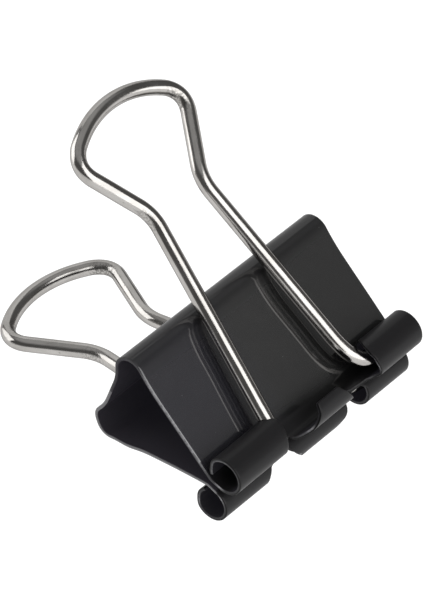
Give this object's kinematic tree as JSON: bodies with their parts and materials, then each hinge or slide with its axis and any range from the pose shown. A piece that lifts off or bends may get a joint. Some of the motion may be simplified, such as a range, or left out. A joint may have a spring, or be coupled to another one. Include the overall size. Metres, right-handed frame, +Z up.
{
  "type": "binder clip",
  "caption": "Foldback paper clip: a folded black spring-steel body with rolled lips that grip paper, and bent wire handles that fold back or forward.",
  "frame": {"origin": "bottom centre of the bounding box of the clip as it lies on a desk, on its rear handle and rear lip", "axes": "+X along the jaws, +Y from the lips towards the spine, +Z up"},
  "size_m": [0.032, 0.0444, 0.0344],
  "materials": {
    "black_enamel": "semi-gloss black enamel on spring steel",
    "nickel_wire": "bright nickel-plated steel wire, lightly drawn"
  },
  "bodies": {
    "spine": {"spine": "black_enamel"},
    "front_jaw": {"front_jaw": "black_enamel"},
    "rear_jaw": {"rear_jaw": "black_enamel"},
    "front_handle": {"front_handle": "nickel_wire"},
    "rear_handle": {"rear_handle": "nickel_wire"}
  },
  "joints": [
    {"name": "front_jaw_flex", "type": "hinge", "parent": "spine", "child": "front_jaw", "pos_m": [0, -0.00638, 0.0156], "axis": [-1, 0, 0], "range_deg": [0, 20], "stiffness_Nm_per_rad": 0.3},
    {"name": "rear_jaw_flex", "type": "hinge", "parent": "spine", "child": "rear_jaw", "pos_m": [0, -0.00221, 0.00432], "axis": [1, 0, 0], "range_deg": [0, 20], "stiffness_Nm_per_rad": 0.3},
    {"name": "front_handle_pivot", "type": "hinge", "parent": "front_jaw", "child": "front_handle", "pos_m": [0, -0.02006, 0.00674], "axis": [1, 0, 0], "range_deg": [0, 156]},
    {"name": "rear_handle_pivot", "type": "hinge", "parent": "rear_jaw", "child": "rear_handle", "pos_m": [0, -0.01836, 0.00216], "axis": [-1, 0, 0], "range_deg": [0, 156]}
  ]
}
